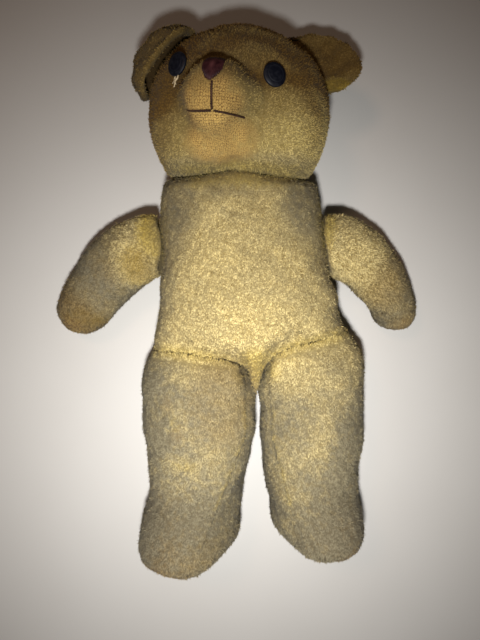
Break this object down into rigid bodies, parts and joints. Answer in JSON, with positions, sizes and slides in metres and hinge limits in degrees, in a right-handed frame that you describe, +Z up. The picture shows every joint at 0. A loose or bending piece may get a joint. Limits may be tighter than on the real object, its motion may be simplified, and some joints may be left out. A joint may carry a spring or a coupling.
{
  "type": "threadbare teddy bear",
  "caption": "Old threadbare teddy bear with sewn arms and legs, button eyes and a stitched nose, lying on its back.",
  "frame": {"origin": "middle of the flat of the bear's back, on the surface that it lies on", "axes": "+Z up out of the bear's front, +Y towards its head, +X towards its left side"},
  "size_m": [0.2837, 0.3961, 0.139],
  "materials": {
    "plush": "short worn pile, golden khaki greyed with dirt, knitted backing showing at the muzzle, paws and toes",
    "stuffing": "firmly packed fibre, dull",
    "eye_button": "scuffed flat dome, dull blue-black",
    "washer": "dull",
    "nose_thread": "upright satin stitches, worn to a sheen, maroon",
    "mouth_thread": "dull dark brown thread, faded in the middle of the stem"
  },
  "bodies": {
    "root": {"head_side_left": "plush", "head_side_right": "plush", "head_gusset": "plush", "ear_front_left": "plush", "ear_back_left": "plush", "ear_front_right": "plush", "ear_back_right": "plush", "body_front_left": "plush", "body_front_right": "plush", "body_back": "plush", "arm_front_left": "plush", "arm_back_left": "plush", "arm_front_right": "plush", "arm_back_right": "plush", "leg_front_left": "plush", "leg_back_left": "plush", "leg_front_right": "plush", "leg_back_right": "plush", "stuffing_head": "stuffing", "stuffing_body": "stuffing", "stuffing_arm_left": "stuffing", "stuffing_arm_right": "stuffing", "stuffing_leg_left": "stuffing", "stuffing_leg_right": "stuffing", "eye_left": "eye_button", "eye_right": "eye_button", "eye_washer_left": "washer", "eye_washer_right": "washer", "nose": "nose_thread", "nose_stem_stitch": "mouth_thread", "mouth_stitch_left": "mouth_thread", "mouth_stitch_right": "mouth_thread"}
  },
  "joints": []
}
